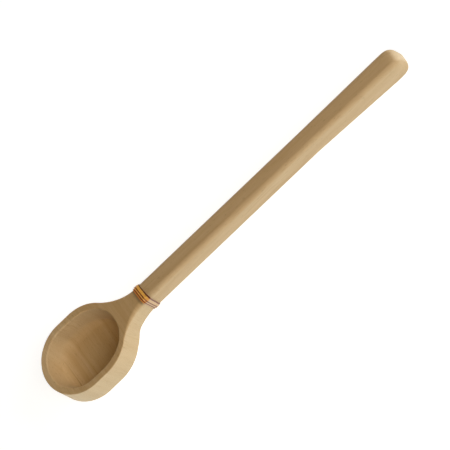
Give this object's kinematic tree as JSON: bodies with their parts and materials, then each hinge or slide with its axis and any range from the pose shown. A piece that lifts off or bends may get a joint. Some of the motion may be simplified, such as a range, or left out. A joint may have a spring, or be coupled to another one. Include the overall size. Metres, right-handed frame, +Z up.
{
  "type": "sauna ladle",
  "caption": "Wooden sauna ladle with an oval hollowed bowl, a straight handle that flares at its tip, and a flat lace wound over the doweled neck joint.",
  "frame": {"origin": "under the middle of the length and width, on the surface that the bowl's base and the underside of the tip lie on", "axes": "+X along the handle towards its tip, +Z up out of the bowl, +Y across"},
  "size_m": [0.45, 0.0764, 0.0291],
  "materials": {
    "bowl_wood": "sanded bare light hardwood, grain across the ladle",
    "handle_wood": "sanded bare light hardwood, grain along the handle",
    "dowel_wood": "fluted beech, glued",
    "lace_leather": "smooth tan lace with dark burnished edges"
  },
  "bodies": {
    "root": {"bowl": "bowl_wood", "handle": "handle_wood", "joint_dowel": "dowel_wood", "lace_binding": "lace_leather"}
  },
  "joints": []
}
